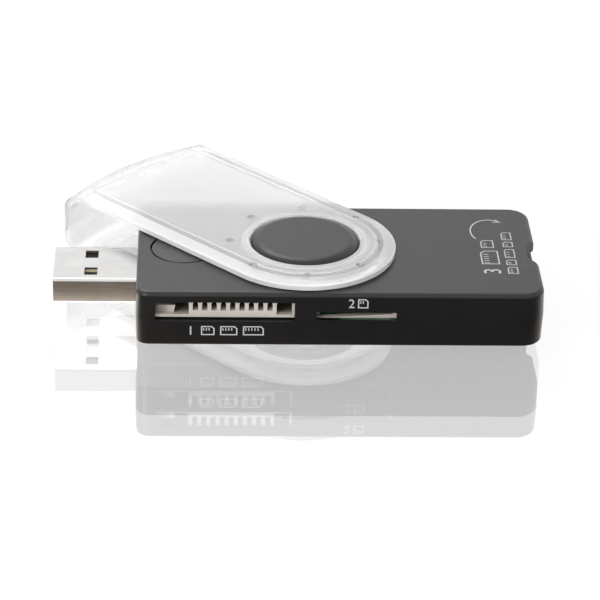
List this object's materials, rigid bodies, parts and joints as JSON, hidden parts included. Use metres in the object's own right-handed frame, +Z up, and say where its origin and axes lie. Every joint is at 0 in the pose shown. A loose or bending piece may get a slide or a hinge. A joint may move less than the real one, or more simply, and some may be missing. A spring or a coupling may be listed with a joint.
{
  "type": "smart card reader",
  "caption": "Flat handheld memory card reader with a plug at one end, card slots in its sides and a clear cap that swivels round a central hub.",
  "frame": {"origin": "centre of the plug's cross-section at the housing's plug end", "axes": "+X from the plug to the card end, -Y towards the side with the long and small card slots, +Z up from the hub button it rests on"},
  "size_m": [0.0805, 0.0569, 0.0137],
  "materials": {
    "housing_black": "satin moulded plastic",
    "clear_cap": "clear, with a lightly frosted field",
    "window_dark": "dark translucent",
    "plug_steel": "nickel-plated sheet",
    "plug_black": "moulded",
    "contact_gold": "gold-plated",
    "socket_beige": "moulded",
    "socket_black": "moulded",
    "cover_steel": "sheet",
    "board_green": "solder mask",
    "chip_black": "moulded",
    "can_metal": "drawn can",
    "lamp_clear": "clear",
    "ceramic_tan": "fired, tinned ends"
  },
  "bodies": {
    "reader": {"top_shell": "housing_black", "bottom_shell": "housing_black", "light_window": "window_dark", "circuit_board": "board_green", "usb_plug_shell": "plug_steel", "usb_plug_insulator": "plug_black", "usb_plug_contacts": "contact_gold", "long_card_socket": "socket_beige", "long_card_cover": "cover_steel", "long_card_contacts": "contact_gold", "small_card_socket": "socket_beige", "small_card_cover": "cover_steel", "small_card_contacts": "contact_gold", "main_card_socket": "socket_black", "main_card_cover": "cover_steel", "main_card_contacts": "contact_gold", "micro_card_socket": "socket_black", "micro_card_cover": "cover_steel", "micro_card_contacts": "contact_gold", "controller_chip": "chip_black", "crystal_can": "can_metal", "voltage_regulator": "chip_black", "indicator_led": "lamp_clear", "capacitors": "ceramic_tan", "resistors": "chip_black"},
    "cap": {"swivel_cap": "clear_cap"}
  },
  "joints": [
    {"name": "cap_swivel", "type": "hinge", "parent": "reader", "child": "cap", "pos_m": [0.02795, 0, 0], "axis": [0, 0, 1], "continuous": true}
  ]
}
